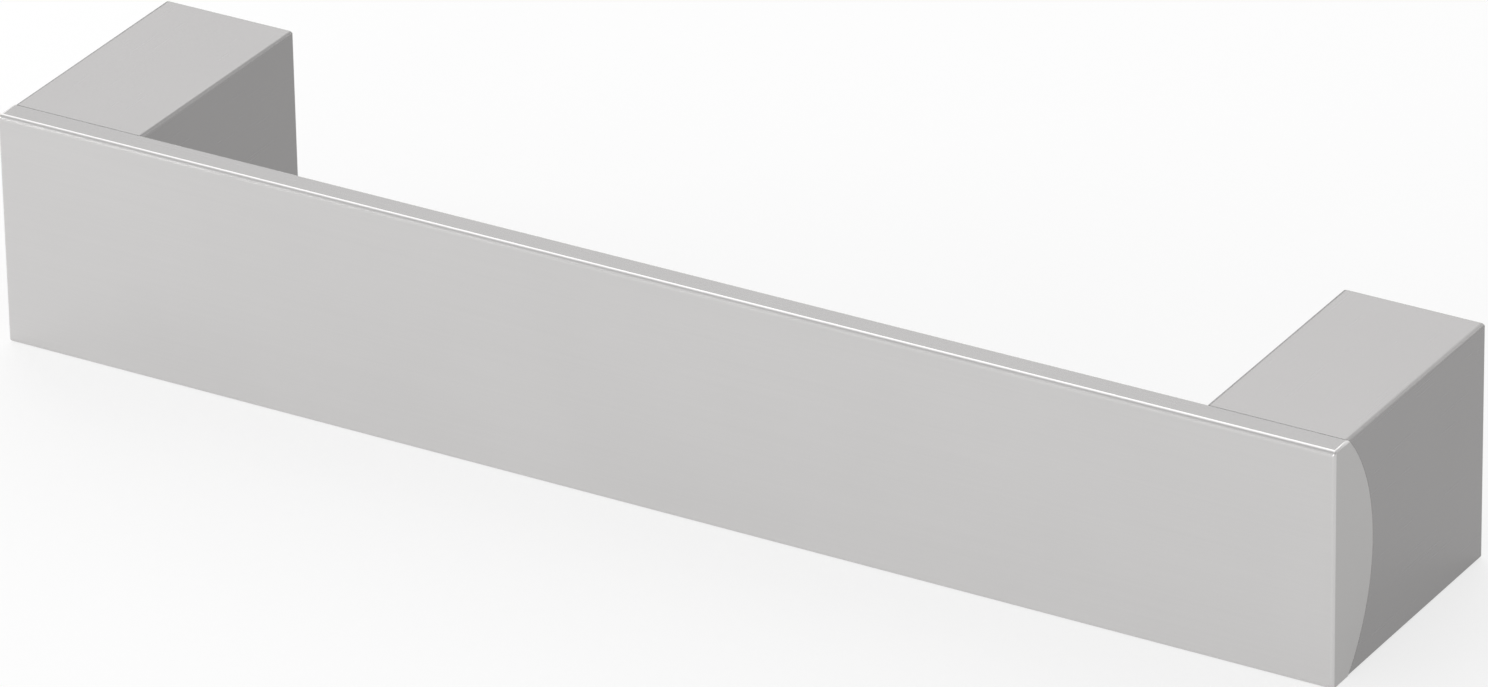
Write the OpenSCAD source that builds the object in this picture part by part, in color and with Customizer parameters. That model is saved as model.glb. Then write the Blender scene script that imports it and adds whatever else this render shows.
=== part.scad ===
// Furniture bar handle: a flat-fronted bar with a crowned back, carried on two rectangular legs.
// X runs along the bar, Y from the bar's front to the mounting face at y = 0, and Z is up.
// The origin lies in the mounting face, midway between the two mounting holes. Sizes are in mm.

/* [Mounting] */
// Distance between the centres of the two mounting holes
hole_spacing = 128; // [64:1:320]
// Distance from the front of the bar to the mounting face
projection = 29; // [26:0.5:45]

/* [Grip bar] */
// Height of the bar, and of the legs that are flush with it
bar_h = 24; // [18:0.5:36]
// Thickness of the bar along its top and bottom edges
bar_edge_t = 2.7; // [2:0.1:4]
// Thickness of the bar at the middle of its crowned back
bar_crown_t = 7.4; // [7:0.1:9]
// Radius of the front face's top and bottom edges
front_edge_r = 0.5; // [0.2:0.05:1]
// Radius of the long edges where the top and bottom meet the crowned back
back_edge_r = 0.2; // [0.1:0.05:0.6]
// Radius of the edges round each cut end
end_edge_r = 0.3; // [0.1:0.05:0.6]

/* [Legs] */
// Width of a leg along the bar
leg_w = 14.5; // [12:0.5:24]
// Radius of the four long edges of a leg
leg_edge_r = 0.5; // [0.1:0.05:1]
// Radius of the edges round the mounting face
rear_edge_r = 0.2; // [0.1:0.05:0.6]
// Hairline joint between the bar's back and a leg's saddle
joint_gap = 0.05; // [0.02:0.01:0.15]
// Thickness of the wall that a fixing sleeve clamps, at the middle of the saddle
saddle_wall = 4; // [2:0.5:8]

/* [Fixing sleeves] */
// Outside diameter of a sleeve's barrel
sleeve_d = 8; // [6.5:0.5:9]
// Diameter of the threaded stud at a sleeve's front
stud_d = 4; // [3:0.5:5]
// Length of stud held by the bar
stud_grip = 4.2; // [3:0.1:4.6]
// Chamfer round the tip of a stud
stud_chamfer = 0.5; // [0.2:0.1:0.8]
// Drilled diameter of the threaded hole for a mounting screw
tapped_d = 3.3; // [2.5:0.1:4.2]
// Depth of full thread for a mounting screw
tapped_depth = 11; // [6:0.5:12]
// Width of the driver slot across a sleeve's rear end
slot_w = 1; // [0.8:0.1:1.4]
// Depth of the driver slot
slot_depth = 1.4; // [0.8:0.1:2]
// Chamfer round the rear end of a sleeve's barrel
barrel_chamfer = 0.3; // [0.1:0.1:0.6]
// Chamfer round the mouth of a sleeve's bore
bore_chamfer = 0.4; // [0.2:0.1:0.8]

/* [Clearances] */
// Radial play of a barrel in its bore
barrel_play = 0.15; // [0.05:0.05:0.3]
// Radial play of a stud where it passes through the saddle wall
stud_play = 0.25; // [0.1:0.05:0.4]
// Radial play of a stud's thread in the bar's threaded hole
thread_play = 0.04; // [0.02:0.01:0.08]
// Room past the tip of a stud
tip_room = 0.5; // [0.3:0.1:0.8]

/* [Hidden] */
$fn = 160;
// How far a cut runs past the face that it opens
past = 1;
// Included angle of a drill's point
drill_point = 118;

bar_l = hole_spacing + leg_w;
front_y = -projection;
edge_y = front_y + bar_edge_t;
crown_y = front_y + bar_crown_t;
crown_rise = bar_crown_t - bar_edge_t;
crown_r = (pow(bar_h / 2, 2) + pow(crown_rise, 2)) / (2 * crown_rise);
crown_centre_y = crown_y - crown_r;
back_fillet_x = bar_h / 2 - back_edge_r;
back_fillet_turn = asin(back_fillet_x / (crown_r - back_edge_r));
back_fillet_y = crown_centre_y + (crown_r - back_edge_r) * cos(back_fillet_turn);
shoulder_y = crown_y + joint_gap + saddle_wall;
stud_tip_y = crown_y - stud_grip;

// Corner at the origin, pointing to +X and +Y: what a radius takes away
module corner_waste(r) {
    difference() {
        translate([-r, -r])
            square(r + past);
        translate([-r, -r])
            circle(r);
    }
}

// Rectangle of the given size, centred on x, its lower edge on y = 0, with a radius at each
// lower corner and another at each upper corner; a radius of 0 leaves the corner sharp
module rounded_rect(size, lower_r, upper_r) {
    difference() {
        translate([-size.x / 2, 0])
            square(size);
        for (side = [0, 1]) {
            mirror([side, 0]) {
                if (upper_r > 0) {
                    translate([size.x / 2, size.y])
                        corner_waste(upper_r);
                }
                if (lower_r > 0) {
                    translate([size.x / 2, 0])
                        mirror([0, 1])
                            corner_waste(lower_r);
                }
            }
        }
    }
}

// Outline drawn with +x as Z and +y as Y, drawn out to a length along X
module along_x(length) {
    translate([-length / 2, 0, 0])
        rotate([0, 90, 0])
            mirror([1, 0, 0])
                linear_extrude(length)
                    children();
}

// Outline drawn with +x as X and +y as Z, drawn out along Y from the front to the mounting face
module along_y() {
    rotate([90, 0, 0])
        linear_extrude(projection)
            children();
}

// Outline drawn with +x as X and +y as Y, drawn out over the bar's height
module along_z() {
    translate([0, 0, -bar_h / 2])
        linear_extrude(bar_h)
            children();
}

// Circle of the bar's crowned back, enlarged by a gap
module crown_circle(gap) {
    translate([0, crown_centre_y])
        circle(crown_r + gap);
}

// What the radius takes away where the bar's top meets its crowned back
module back_corner_waste() {
    reach = back_edge_r + past;
    along_crown = reach * [sin(back_fillet_turn), cos(back_fillet_turn)];
    along_top = [reach, 0];
    translate([back_fillet_x, back_fillet_y]) {
        difference() {
            polygon([[0, 0], along_top, along_top + along_crown, along_crown]);
            circle(back_edge_r);
        }
    }
}

// Section of the bar: flat front, crowned back, all four long edges rounded
module bar_section() {
    difference() {
        intersection() {
            translate([0, front_y])
                rounded_rect([bar_h, bar_crown_t], front_edge_r, 0);
            crown_circle(0);
        }
        for (side = [0, 1]) {
            mirror([side, 0])
                back_corner_waste();
        }
    }
}

// Section of a leg: its front is a saddle that takes the bar's back
module leg_section() {
    difference() {
        translate([0, edge_y])
            rounded_rect([bar_h, -edge_y], 0, rear_edge_r);
        crown_circle(joint_gap);
    }
}

// Hole along Y from its mouth towards the front, with a drill's point at its end
module drilled_hole(mouth_y, d, depth) {
    translate([0, mouth_y, 0]) {
        rotate([90, 0, 0]) {
            cylinder(d = d, h = depth);
            translate([0, 0, depth])
                cylinder(d1 = d, d2 = 0, h = d / 2 / tan(drill_point / 2));
        }
    }
}

// Cylinder along Y between two planes, with a chamfer at its front and another at its rear
module rod_y(d, from_y, to_y, front_chamfer = 0, rear_chamfer = 0) {
    length = to_y - from_y;
    translate([0, to_y, 0]) {
        rotate([90, 0, 0]) {
            rotate_extrude() {
                polygon([
                    [0, 0],
                    [d / 2 - rear_chamfer, 0],
                    [d / 2, rear_chamfer],
                    [d / 2, length - front_chamfer],
                    [d / 2 - front_chamfer, length],
                    [0, length],
                ]);
            }
        }
    }
}

// Bar cut to length, with a blind threaded hole behind each leg
module grip_bar() {
    color("#c9c8c7")
        difference() {
            intersection() {
                along_x(bar_l)
                    bar_section();
                along_y()
                    translate([0, -bar_h / 2])
                        rounded_rect([bar_l, bar_h], end_edge_r, end_edge_r);
                along_z()
                    translate([0, front_y])
                        rounded_rect([bar_l, projection], end_edge_r, 0);
            }
            for (side = [-1, 1]) {
                translate([side * hole_spacing / 2, 0, 0])
                    drilled_hole(crown_y + past, stud_d + 2 * thread_play, stud_grip + tip_room + past);
            }
        }
}

// Leg centred on its mounting hole, with a stepped bore for its sleeve
module leg() {
    color("#c6c5c5")
        difference() {
            intersection() {
                along_x(leg_w)
                    leg_section();
                along_y()
                    translate([0, -bar_h / 2])
                        rounded_rect([leg_w, bar_h], leg_edge_r, leg_edge_r);
                along_z()
                    translate([0, front_y])
                        rounded_rect([leg_w, projection], 0, rear_edge_r);
            }
            rod_y(stud_d + 2 * stud_play, crown_y - past, shoulder_y + past);
            rod_y(sleeve_d + 2 * barrel_play, shoulder_y, past);
            translate([0, -bore_chamfer, 0])
                rotate([-90, 0, 0])
                    cylinder(
                        r1 = sleeve_d / 2 + barrel_play,
                        r2 = sleeve_d / 2 + barrel_play + bore_chamfer + past,
                        h = bore_chamfer + past
                    );
        }
}

// Sleeve that draws a leg on to the bar and takes the mounting screw in its rear
module sleeve() {
    color("#b9bcbf")
        difference() {
            union() {
                rod_y(sleeve_d, shoulder_y, 0, 0, barrel_chamfer);
                rod_y(stud_d, stud_tip_y, shoulder_y + past, stud_chamfer, 0);
            }
            drilled_hole(past, tapped_d, tapped_depth + past);
            translate([0, -slot_depth / 2, 0])
                cube([slot_w, slot_depth, sleeve_d + 2 * past], center = true);
        }
}

module left_leg() {
    translate([-hole_spacing / 2, 0, 0])
        leg();
}

module right_leg() {
    translate([hole_spacing / 2, 0, 0])
        leg();
}

module left_sleeve() {
    translate([-hole_spacing / 2, 0, 0])
        sleeve();
}

module right_sleeve() {
    translate([hole_spacing / 2, 0, 0])
        sleeve();
}

grip_bar();
left_leg();
right_leg();
left_sleeve();
right_sleeve();
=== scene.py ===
import math

import bmesh
import bpy
from mathutils import Matrix, Vector


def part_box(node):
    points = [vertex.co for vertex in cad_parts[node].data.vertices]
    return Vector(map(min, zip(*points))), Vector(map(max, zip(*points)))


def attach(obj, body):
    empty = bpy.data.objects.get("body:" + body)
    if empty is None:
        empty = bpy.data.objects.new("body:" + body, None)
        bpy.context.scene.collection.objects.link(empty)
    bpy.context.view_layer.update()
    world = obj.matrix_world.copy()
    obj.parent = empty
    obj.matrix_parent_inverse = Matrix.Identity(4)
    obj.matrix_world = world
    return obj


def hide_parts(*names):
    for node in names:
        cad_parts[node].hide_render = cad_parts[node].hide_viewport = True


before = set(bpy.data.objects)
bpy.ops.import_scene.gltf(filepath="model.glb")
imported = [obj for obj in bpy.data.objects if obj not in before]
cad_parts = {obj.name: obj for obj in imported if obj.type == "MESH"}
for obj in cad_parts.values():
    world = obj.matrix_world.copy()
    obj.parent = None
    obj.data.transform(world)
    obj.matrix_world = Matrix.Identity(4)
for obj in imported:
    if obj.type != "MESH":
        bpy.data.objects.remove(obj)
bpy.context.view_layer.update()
mm = 0.001
near = 1e-6  # two places closer than this are the same place
past = 1 * mm  # how far a cut runs past the face that it opens
print("frame loaded:", ", ".join(sorted(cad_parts)))

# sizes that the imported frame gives
barLow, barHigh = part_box("grip_bar")
legLow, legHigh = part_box("right_leg")
sleeveLow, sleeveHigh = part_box("right_sleeve")
halfLength = (barHigh.x - barLow.x) / 2
halfHeight = (barHigh.z - barLow.z) / 2
frontY = barLow.y
crownY = barHigh.y
mountY = legHigh.y
legWidth = legHigh.x - legLow.x
holeX = (legHigh.x + legLow.x) / 2
studTipY = sleeveLow.y
sleeveRadius = (sleeveHigh.x - sleeveLow.x) / 2


# shared modelling helpers

def vertsOf(items):
    return [item for item in items if isinstance(item, bmesh.types.BMVert)]


def markRound(bm, axis, test, radius):
    # note a radius, in millimetres, on the edges that run along one axis, or along any if it is None,
    # and that pass the test at both ends
    layers = bm.edges.layers.float
    weight = layers.get("bevel_weight_edge") or layers.new("bevel_weight_edge")
    for edge in bm.edges:
        first, second = (vert.co for vert in edge.verts)
        straight = axis is None or all(abs(first[i] - second[i]) < near for i in range(3) if i != axis)
        if straight and test(first) and test(second):
            edge[weight] = radius / mm


def roundMarked(piece, segments):
    # one bevel takes every marked edge, so that edges of unlike radius meet cleanly at the corners
    soften = piece.modifiers.new("roundedEdges", "BEVEL")
    soften.limit_method = "WEIGHT"
    soften.width = 1 * mm  # the weights are in millimetres
    soften.segments = segments
    soften.profile = 0.5
    soften.use_clamp_overlap = False


def pieceFrom(bm, name):
    bmesh.ops.remove_doubles(bm, verts=bm.verts[:], dist=near)
    bmesh.ops.recalc_face_normals(bm, faces=bm.faces[:])
    mesh = bpy.data.meshes.new(name)
    bm.to_mesh(mesh)
    bm.free()
    piece = bpy.data.objects.new(name, mesh)
    bpy.context.scene.collection.objects.link(piece)
    return piece


def carve(piece, tool, operation="DIFFERENCE"):
    # cut the tool out of the piece, or join it on, and keep the result as plain mesh
    step = piece.modifiers.new("carve", "BOOLEAN")
    step.operation = operation
    step.solver = "EXACT"
    step.object = tool
    graph = bpy.context.evaluated_depsgraph_get()
    worn = piece.data
    piece.data = bpy.data.meshes.new_from_object(piece.evaluated_get(graph))
    piece.modifiers.clear()
    bpy.data.meshes.remove(worn)
    bpy.data.meshes.remove(tool.data)  # takes the tool's object with it


def smoothShade(piece, sharpAngle=28):
    # flat faces keep their own normals, and only the rounded edges shade smooth
    piece.data.shade_smooth()
    piece.data.set_sharp_from_angle(angle=math.radians(sharpAngle))
    weigh = piece.modifiers.new("flatFaces", "WEIGHTED_NORMAL")
    weigh.mode = "FACE_AREA"
    weigh.keep_sharp = True


def turned(bm, profile, steps):
    # profile of (radius, y) points, turned about the Y axis
    verts = [bm.verts.new((radius, y, 0)) for radius, y in profile]
    edges = [bm.edges.new(pair) for pair in zip(verts, verts[1:])]
    bmesh.ops.spin(
        bm,
        geom=verts + edges,
        cent=(0, 0, 0),
        axis=(0, 1, 0),
        dvec=(0, 0, 0),
        angle=math.tau,
        steps=steps,
        use_merge=True,
    )
    bmesh.ops.remove_doubles(bm, verts=bm.verts[:], dist=near)


# grip bar: flat front, crowned back, cut square at both ends

gripBar = {
    "edgeThickness": 2.7 * mm,
    "frontEdgeRadius": 0.5 * mm,
    "endEdgeRadius": 0.3 * mm,
    "backEdgeRadius": 0.1 * mm,
    "holeRadius": 2.04 * mm,
    "holeDepth": 4.7 * mm,
    "holeSteps": 48,
    "drillPoint": 118,
    "crownSteps": 36,
    "roundSteps": 6,
}
edgeY = frontY + gripBar["edgeThickness"]
crownRise = crownY - edgeY
crownRadius = (halfHeight ** 2 + crownRise ** 2) / (2 * crownRise)
crownCentreY = crownY - crownRadius


def crownedSection(bm, x, radius, farY):
    # arc of the crown at one end, closed by two corners on the far side, as one face
    halfTurn = math.asin(halfHeight / radius)
    first = bm.verts.new((x, crownCentreY + radius * math.cos(halfTurn), -halfHeight))
    spun = bmesh.ops.spin(
        bm,
        geom=[first],
        cent=(x, crownCentreY, 0),
        axis=(1, 0, 0),
        dvec=(0, 0, 0),
        angle=2 * halfTurn,
        steps=gripBar["crownSteps"],
        use_merge=False,
    )
    last = vertsOf(spun["geom_last"])[0]
    upper = bm.verts.new((x, farY, halfHeight))
    lower = bm.verts.new((x, farY, -halfHeight))
    for pair in ((last, upper), (upper, lower), (lower, first)):
        bm.edges.new(pair)
    return bmesh.ops.contextual_create(bm, geom=bm.edges[:])["faces"][0]


def drawAlongX(bm, face, length):
    grown = bmesh.ops.extrude_face_region(bm, geom=[face])
    bmesh.ops.translate(bm, verts=vertsOf(grown["geom"]), vec=(length, 0, 0))
    bmesh.ops.recalc_face_normals(bm, faces=bm.faces[:])


def makeGripBar():
    bm = bmesh.new()
    face = crownedSection(bm, -halfLength, crownRadius, frontY)
    drawAlongX(bm, face, 2 * halfLength)

    def onFront(co):
        return abs(co.y - frontY) < near

    def onRightEnd(co):
        return abs(co.x - halfLength) < near and co.y < edgeY + near

    def onLeftEnd(co):
        return abs(co.x + halfLength) < near and co.y < edgeY + near

    def onBackCorner(co):
        return abs(co.y - edgeY) < near and abs(abs(co.z) - halfHeight) < near

    markRound(bm, 0, onFront, gripBar["frontEdgeRadius"])
    markRound(bm, None, onRightEnd, gripBar["endEdgeRadius"])
    markRound(bm, None, onLeftEnd, gripBar["endEdgeRadius"])
    cornerAngle = math.pi - math.asin(halfHeight / crownRadius)  # between the top and the crown
    backOffset = gripBar["backEdgeRadius"] / math.tan(cornerAngle / 2)
    markRound(bm, 0, onBackCorner, backOffset)
    piece = pieceFrom(bm, "satinGripBar")
    roundMarked(piece, gripBar["roundSteps"])
    for side in (-1, 1):
        drill = bmesh.new()
        point = gripBar["holeRadius"] / math.tan(math.radians(gripBar["drillPoint"] / 2))
        floorY = crownY - gripBar["holeDepth"]
        profile = [
            (0, crownY + past),
            (gripBar["holeRadius"], crownY + past),
            (gripBar["holeRadius"], floorY),
            (0, floorY - point),
        ]
        turned(drill, profile, gripBar["holeSteps"])
        bmesh.ops.translate(drill, verts=drill.verts[:], vec=(side * holeX, 0, 0))
        carve(piece, pieceFrom(drill, "drill"))
    smoothShade(piece)
    return piece


# legs: rectangular, with a saddle in front that takes the bar's crown

leg = {
    "jointGap": 0.015 * mm,
    "edgeRadius": 0.5 * mm,
    "rearEdgeRadius": 0.2 * mm,
    "tipBreak": 0.015 * mm,  # sharp lip of the saddle, broken with a stone
    "saddleWall": 4 * mm,
    "barrelPlay": 0.15 * mm,
    "studHoleRadius": 2.25 * mm,
    "boreChamfer": 0.4 * mm,
    "boreSteps": 64,
    "roundSteps": 6,
}
shoulderY = crownY + leg["jointGap"] + leg["saddleWall"]


def makeLeg(name, middleX):
    bm = bmesh.new()
    saddleRadius = crownRadius + leg["jointGap"]
    face = crownedSection(bm, middleX - legWidth / 2, saddleRadius, mountY)
    drawAlongX(bm, face, legWidth)
    tipY = min(vert.co.y for vert in bm.verts)

    def onCorner(co):
        return abs(abs(co.z) - halfHeight) < near

    def onRear(co):
        return abs(co.y - mountY) < near

    def onTip(co):
        return abs(co.y - tipY) < near and abs(abs(co.z) - halfHeight) < near

    markRound(bm, 1, onCorner, leg["edgeRadius"])
    markRound(bm, None, onRear, leg["rearEdgeRadius"])
    markRound(bm, 0, onTip, leg["tipBreak"])
    piece = pieceFrom(bm, name)
    roundMarked(piece, leg["roundSteps"])
    bore = bmesh.new()
    boreRadius = sleeveRadius + leg["barrelPlay"]
    mouth = boreRadius + leg["boreChamfer"]
    profile = [
        (0, mountY + past),
        (mouth + past, mountY + past),
        (boreRadius, mountY - leg["boreChamfer"]),
        (boreRadius, shoulderY),
        (leg["studHoleRadius"], shoulderY),
        (leg["studHoleRadius"], crownY - past),
        (0, crownY - past),
    ]
    turned(bore, profile, leg["boreSteps"])
    bmesh.ops.translate(bore, verts=bore.verts[:], vec=(middleX, 0, 0))
    carve(piece, pieceFrom(bore, "bore"))
    smoothShade(piece)
    return piece


# fixing sleeves: stud in front, threaded hole and driver slot behind

sleeve = {
    "studRadius": 2 * mm,
    "studRoot": 1.6 * mm,
    "studTip": 0.5 * mm,
    "threadRadius": 2 * mm,
    "drilledRadius": 1.65 * mm,
    "drilledDepth": 11 * mm,
    "drillPoint": 118,
    "pitch": 0.7 * mm,
    "rootEnd": 0.2,  # this and the next two are shares of the pitch
    "crestStart": 0.52,
    "crestEnd": 0.68,
    "buried": 0.05 * mm,  # how far a thread's root lies below the face that it stands on
    "spareTurns": 2,  # turns of thread ahead of the end that is trimmed
    "slotWidth": 1 * mm,
    "slotDepth": 1.4 * mm,
    "rearChamfer": 0.3 * mm,
    "turnSteps": 64,
    "threadSteps": 52,
}


def screwThread(name, root, crest, fromY, toY):
    # comb of roots and crests that climbs one pitch in one turn, trimmed square at both ends
    bm = bmesh.new()
    pitch = sleeve["pitch"]
    steps = sleeve["threadSteps"]
    spare = sleeve["spareTurns"]
    turns = math.ceil((toY - fromY) / pitch) + spare
    form = (
        (root, 0),
        (root, sleeve["rootEnd"]),
        (crest, sleeve["crestStart"]),
        (crest, sleeve["crestEnd"]),
    )
    comb = []
    for turn in range(turns):
        for radius, share in form:
            comb.append(bm.verts.new((radius, fromY + pitch * (turn - spare + share), 0)))
    edges = [bm.edges.new(pair) for pair in zip(comb, comb[1:])]
    bmesh.ops.spin(
        bm,
        geom=comb + edges,
        cent=(0, 0, 0),
        axis=(0, 1, 0),
        dvec=(0, pitch / steps, 0),
        angle=math.tau,
        steps=steps,
        use_merge=False,
    )
    bmesh.ops.remove_doubles(bm, verts=bm.verts[:], dist=near)
    for planeY, outward in ((fromY, -1), (toY, 1)):
        bmesh.ops.bisect_plane(
            bm,
            geom=bm.verts[:] + bm.edges[:] + bm.faces[:],
            dist=near,
            plane_co=(0, planeY, 0),
            plane_no=(0, outward, 0),
            clear_outer=True,
        )
    bmesh.ops.holes_fill(bm, edges=[edge for edge in bm.edges if edge.is_boundary], sides=0)
    return pieceFrom(bm, name)


def makeSleeve(name, middleX):
    bm = bmesh.new()
    point = sleeve["drilledRadius"] / math.tan(math.radians(sleeve["drillPoint"] / 2))
    holeEndY = mountY - sleeve["drilledDepth"]
    profile = [
        (0, studTipY),
        (sleeve["studRoot"], studTipY),
        (sleeve["studRoot"], shoulderY),
        (sleeveRadius, shoulderY),
        (sleeveRadius, mountY - sleeve["rearChamfer"]),
        (sleeveRadius - sleeve["rearChamfer"], mountY),
        (sleeve["drilledRadius"], mountY),
        (sleeve["drilledRadius"], holeEndY),
        (0, holeEndY - point),
    ]
    turned(bm, profile, sleeve["turnSteps"])
    piece = pieceFrom(bm, name)
    stud = screwThread(
        "studThread",
        sleeve["studRoot"] - sleeve["buried"],
        sleeve["studRadius"],
        studTipY + sleeve["studTip"],
        shoulderY + past,
    )
    carve(piece, stud, "UNION")
    tap = screwThread(
        "tap",
        sleeve["drilledRadius"] - sleeve["buried"],
        sleeve["threadRadius"],
        holeEndY,
        mountY + past,
    )
    carve(piece, tap)
    saw = bmesh.new()
    bmesh.ops.create_cube(saw, size=1)
    sawSize = (sleeve["slotWidth"], 2 * sleeve["slotDepth"], 4 * sleeveRadius)  # twice the cut
    bmesh.ops.scale(saw, verts=saw.verts[:], vec=sawSize)
    bmesh.ops.translate(saw, verts=saw.verts[:], vec=(0, mountY, 0))
    carve(piece, pieceFrom(saw, "saw"))
    piece.data.transform(Matrix.Translation((middleX, 0, 0)))
    smoothShade(piece)
    return piece


satinGripBar = makeGripBar()
legs = {"left_leg": makeLeg("satinLegLeft", -holeX), "right_leg": makeLeg("satinLegRight", holeX)}
sleeves = {
    "left_sleeve": makeSleeve("turnedSleeveLeft", -holeX),
    "right_sleeve": makeSleeve("turnedSleeveRight", holeX),
}
print("pieces modelled:", 1 + len(legs) + len(sleeves))


# finishes, with painted shade in the bar's top, bottom and ends and in the legs

class Val:
    # wraps a shader socket, so that sums on it add Math nodes
    def __init__(self, tree, socket):
        self.tree = tree
        self.socket = socket

    def math(self, operation, first, second):
        node = self.tree.nodes.new("ShaderNodeMath")
        node.operation = operation
        for place, value in zip(node.inputs, (first, second)):
            if isinstance(value, Val):
                self.tree.links.new(value.socket, place)
            else:
                place.default_value = value
        return Val(self.tree, node.outputs[0])

    def __add__(self, other):
        return self.math("ADD", self, other)

    def __radd__(self, other):
        return self.math("ADD", other, self)

    def __sub__(self, other):
        return self.math("SUBTRACT", self, other)

    def __rsub__(self, other):
        return self.math("SUBTRACT", other, self)

    def __mul__(self, other):
        return self.math("MULTIPLY", self, other)

    def __rmul__(self, other):
        return self.math("MULTIPLY", other, self)


class Nodes:
    # one node tree, to which each call adds a node
    def __init__(self, owner):
        owner.use_nodes = True
        self.tree = owner.node_tree
        self.tree.nodes.clear()

    def add(self, kind, settings=None, sockets=None, out=0):
        node = self.tree.nodes.new("ShaderNode" + kind)
        for name, value in (settings or {}).items():
            setattr(node, name, value)
        for place, value in (sockets or {}).items():
            if isinstance(value, Val):
                self.tree.links.new(value.socket, node.inputs[place])
            else:
                node.inputs[place].default_value = value
        return Val(self.tree, node.outputs[out]) if len(node.outputs) else node


def brushedMetal(name, look):
    material = bpy.data.materials.new(name)
    nodes = Nodes(material)
    place = nodes.add("TexCoord", out="Object")
    scale = [1 / look["markWidth"]] * 3
    scale["XYZ".index(look["brushedAlong"])] = 1 / look["markLength"]
    stretched = nodes.add("Mapping", None, {"Vector": place, "Scale": scale})
    marks = nodes.add(
        "TexNoise",
        None,
        {"Vector": stretched, "Scale": 1, "Detail": look["markDetail"], "Roughness": look["markBreakUp"]},
    )
    clouds = nodes.add(
        "TexNoise",
        None,
        {"Vector": place, "Scale": 1 / look["cloudSize"], "Detail": look["cloudDetail"]},
    )
    blend = marks * look["marksShare"] + clouds * (1 - look["marksShare"])
    dark = [part * (1 - look["contrast"]) for part in look["colour"]] + [1]
    light = [part * (1 + look["contrast"]) for part in look["colour"]] + [1]
    tone = nodes.add("Mix", {"data_type": "RGBA"}, {0: blend, 6: dark, 7: light}, out=2)
    rough = look["roughness"] + (marks - 0.5) * look["roughnessSpread"]
    relief = nodes.add(
        "Bump",
        None,
        {"Strength": look["relief"], "Distance": look["markDepth"], "Height": marks},
    )
    metal = nodes.add(
        "BsdfPrincipled",
        None,
        {"Base Color": tone, "Metallic": 1, "Roughness": rough, "Normal": relief},
    )
    nodes.add("OutputMaterial", None, {"Surface": metal})
    return material


barFinish = {
    "colour": (0.607, 0.599, 0.595),
    "brushedAlong": "X",
    "markLength": 22 * mm,
    "markWidth": 0.16 * mm,
    "markDepth": 0.02 * mm,
    "markDetail": 4,
    "markBreakUp": 0.65,
    "cloudSize": 14 * mm,
    "cloudDetail": 2,
    "marksShare": 0.6,
    "contrast": 0.05,
    "roughness": 0.36,
    "roughnessSpread": 0.10,
    "relief": 0.08,
}
# the legs' metal is smoother and somewhat darker than the bar's, and its colour is lowered further as
# painted shade so that the legs' sides come out dark
legLookAndPaintedShade = {
    **barFinish,
    "colour": (0.276, 0.271, 0.269),
    "brushedAlong": "Y",
    "markLength": 12 * mm,
    "roughness": 0.26,
    "roughnessSpread": 0.08,
}
# painted shade: the bar's flat top and bottom get the legs' roughness and a colour much darker than the
# bar's front, brushed along X like the bar
paintedShadeTopLook = {
    **legLookAndPaintedShade,
    "colour": (0.260, 0.256, 0.254),
    "brushedAlong": "X",
    "markLength": barFinish["markLength"],
}
# the bar's cut ends: rougher than the front and brushed upright, with a colour darker than the front as
# painted shade
cutEndAndPaintedShadeLook = {
    **barFinish,
    "colour": (0.495, 0.489, 0.484),
    "brushedAlong": "Z",
    "markLength": 5 * mm,
    "roughness": 0.56,
}
sleeveFinish = {**barFinish, "colour": (0.60, 0.61, 0.62), "roughness": 0.3, "brushedAlong": "Z"}

barMetal = brushedMetal("satinBar", barFinish)
paintedShadeTopMetal = brushedMetal("satinTopPaintedShade", paintedShadeTopLook)
cutEndAndPaintedShadeMetal = brushedMetal("cutEndPaintedShade", cutEndAndPaintedShadeLook)
legMetalAndPaintedShade = brushedMetal("satinLeg", legLookAndPaintedShade)
sleeveMetal = brushedMetal("turnedSteel", sleeveFinish)

barSlots = satinGripBar.data.materials
for metal in (barMetal, paintedShadeTopMetal, cutEndAndPaintedShadeMetal):
    barSlots.append(metal)
squareOn = 0.999  # a face lies flat where its normal is this close to an axis
# painted shade: picked by the way each face points, the bar's flat top and bottom and its cut ends take
# darker metals than its front
for polygon in satinGripBar.data.polygons:
    if abs(polygon.normal.z) > squareOn and abs(abs(polygon.center.z) - halfHeight) < near:
        polygon.material_index = barSlots.find(paintedShadeTopMetal.name)
    if abs(polygon.normal.x) > squareOn and abs(abs(polygon.center.x) - halfLength) < near:
        polygon.material_index = barSlots.find(cutEndAndPaintedShadeMetal.name)
for piece in legs.values():
    piece.data.materials.append(legMetalAndPaintedShade)
for piece in sleeves.values():
    piece.data.materials.append(sleeveMetal)

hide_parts("grip_bar")
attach(satinGripBar, "root")
for node, piece in legs.items():
    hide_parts(node)
    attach(piece, "root")
for node, piece in sleeves.items():
    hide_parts(node)
    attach(piece, "root")
print("finishes given:", ", ".join(material.name for material in bpy.data.materials))


# floor, light and camera

floorLook = {
    "size": 6,
    "squares": 4,
    "colour": (0.94, 0.94, 0.94, 1),
    "grainColour": (0.92, 0.92, 0.92, 1),
    "grainSize": 1.5 * mm,
    "grainDetail": 3,
    "roughness": 0.9,
    "paperWhite": 0.68,
}
roomLook = {"colour": (1, 1, 1, 1), "strength": 0.66}
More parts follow.
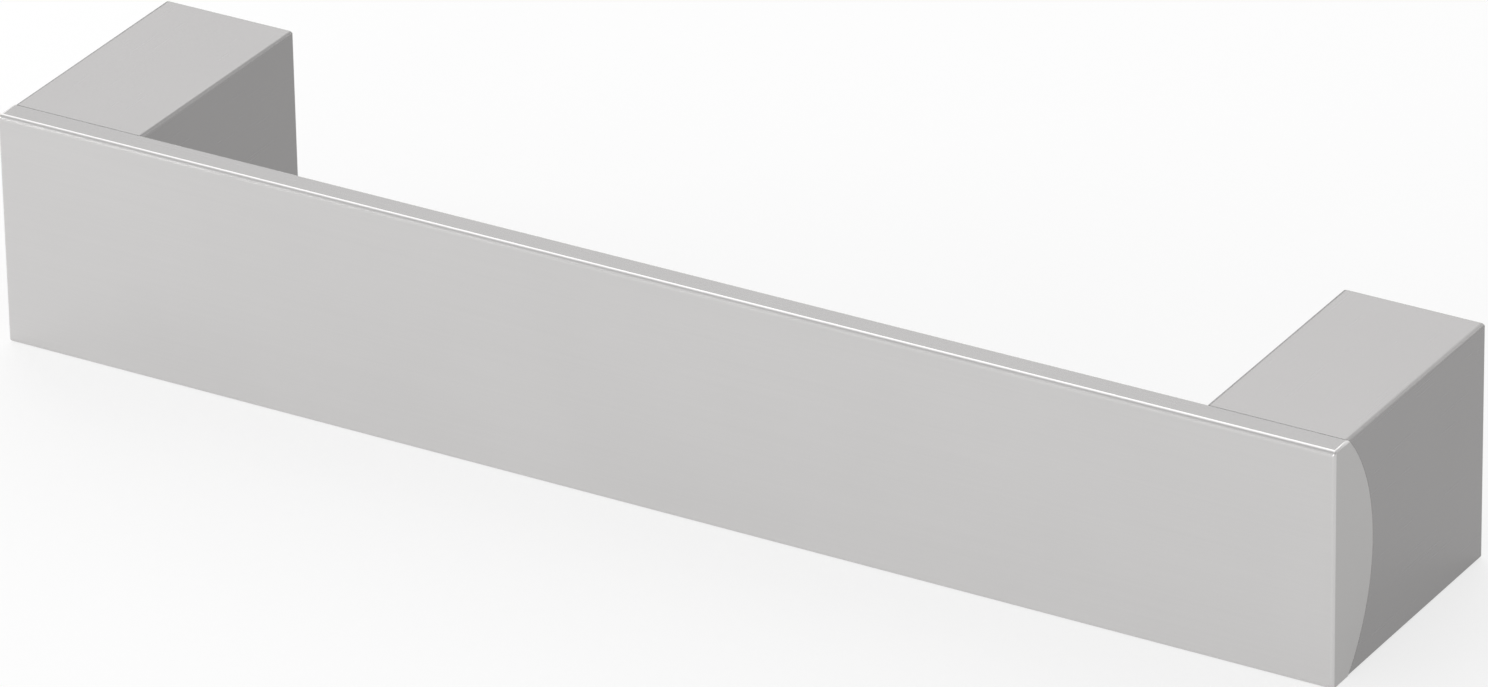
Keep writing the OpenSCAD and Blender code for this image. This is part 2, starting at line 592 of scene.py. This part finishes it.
# azimuth runs from the front, to the right; size and distance in metres, power in watts
# the cards are what the tops and the rounded edges mirror
softboxes = {
    "overheadBox": {"azimuth": 222, "elevation": 57, "distance": 0.9, "size": (0.5, 0.6), "power": 1.2},
    "backCard": {"azimuth": 201, "elevation": 29, "distance": 1.7, "size": (2.4, 0.85), "power": 7.9},
    "sideCard": {"azimuth": 149, "elevation": 21, "distance": 1.7, "size": (1.1, 1.1), "power": 1.9},
    "fillCard": {"azimuth": 322, "elevation": 32, "distance": 1.5, "size": (1, 0.9), "power": 0.7},
    "frontBox": {"azimuth": 6, "elevation": 12, "distance": 1.2, "size": (0.5, 0.4), "power": 3},
    "leftBox": {"azimuth": -66, "elevation": 9, "distance": 0.6, "size": (0.3, 0.15), "power": 1.5},
}
photoCamera = {
    "azimuth": 31.108,
    "elevation": 26.990,
    "roll": -1.027,
    "distance": 1.0395,
    "lookAt": (1.49 * mm, -14.14 * mm, -0.91 * mm),
    "lens": 271.06,
    "sensor": 36,
    "nearest": 0.01,
}


def makeFloor():
    bm = bmesh.new()
    squares = floorLook["squares"]
    bmesh.ops.create_grid(bm, x_segments=squares, y_segments=squares, size=floorLook["size"] / 2)
    bmesh.ops.translate(bm, verts=bm.verts[:], vec=(0, 0, barLow.z))
    floor = pieceFrom(bm, "paleFloor")
    material = bpy.data.materials.new("paleFloor")
    nodes = Nodes(material)
    place = nodes.add("TexCoord", out="Object")
    grain = nodes.add(
        "TexNoise",
        None,
        {"Vector": place, "Scale": 1 / floorLook["grainSize"], "Detail": floorLook["grainDetail"]},
    )
    tones = {0: grain, 6: floorLook["grainColour"], 7: floorLook["colour"]}
    paperTone = nodes.add("Mix", {"data_type": "RGBA"}, tones, out=2)
    shaded = nodes.add(
        "BsdfPrincipled",
        None,
        {"Base Color": paperTone, "Roughness": floorLook["roughness"], "Specular IOR Level": 0},
    )
    white = nodes.add("Emission", None, {"Color": (1, 1, 1, 1), "Strength": 1})
    # seen by the camera and in the metal, the paper is nearly white and keeps some of its shadow
    seen = nodes.add("LightPath", out="Is Camera Ray")
    for kind in ("Is Glossy Ray", "Is Transmission Ray"):
        seen = seen + nodes.add("LightPath", out=kind)
    paper = nodes.add("MixShader", None, {0: seen * floorLook["paperWhite"], 1: shaded, 2: white})
    nodes.add("OutputMaterial", None, {"Surface": paper})
    floor.data.materials.append(material)


def makeSoftbox(name, box):
    lamp = bpy.data.lights.new(name, "AREA")
    lamp.shape = "RECTANGLE"
    lamp.size, lamp.size_y = box["size"]
    lamp.energy = box["power"]
    holder = bpy.data.objects.new(name, lamp)
    around = math.radians(box["azimuth"])
    up = math.radians(box["elevation"])
    level = math.cos(up)
    towards = Vector((math.sin(around) * level, -math.cos(around) * level, math.sin(up)))
    holder.location = towards * box["distance"]
    holder.rotation_euler = (-towards).to_track_quat("-Z", "Y").to_euler()
    holder.visible_camera = False
    bpy.context.scene.collection.objects.link(holder)


def makeRoom():
    world = bpy.data.worlds.new("paleRoom")
    nodes = Nodes(world)
    light = nodes.add(
        "Background",
        None,
        {"Color": roomLook["colour"], "Strength": roomLook["strength"]},
    )
    nodes.add("OutputWorld", None, {"Surface": light})
    bpy.context.scene.world = world


def makeCamera():
    camera = bpy.data.objects.new("photoCamera", bpy.data.cameras.new("photoCamera"))
    camera.data.sensor_fit = "HORIZONTAL"
    camera.data.sensor_width = photoCamera["sensor"]
    camera.data.lens = photoCamera["lens"]
    camera.data.clip_start = photoCamera["nearest"]
    turn = (
        Matrix.Rotation(math.radians(photoCamera["azimuth"]), 4, "Z")
        @ Matrix.Rotation(math.radians(90 - photoCamera["elevation"]), 4, "X")
        @ Matrix.Rotation(math.radians(photoCamera["roll"]), 4, "Z")
    )
    back = Matrix.Translation((0, 0, photoCamera["distance"]))
    camera.matrix_world = Matrix.Translation(photoCamera["lookAt"]) @ turn @ back
    bpy.context.scene.collection.objects.link(camera)
    bpy.context.scene.camera = camera


makeFloor()
makeRoom()
for name, box in softboxes.items():
    makeSoftbox(name, box)
makeCamera()
bpy.context.scene.view_settings.view_transform = "Standard"
print("stage set")
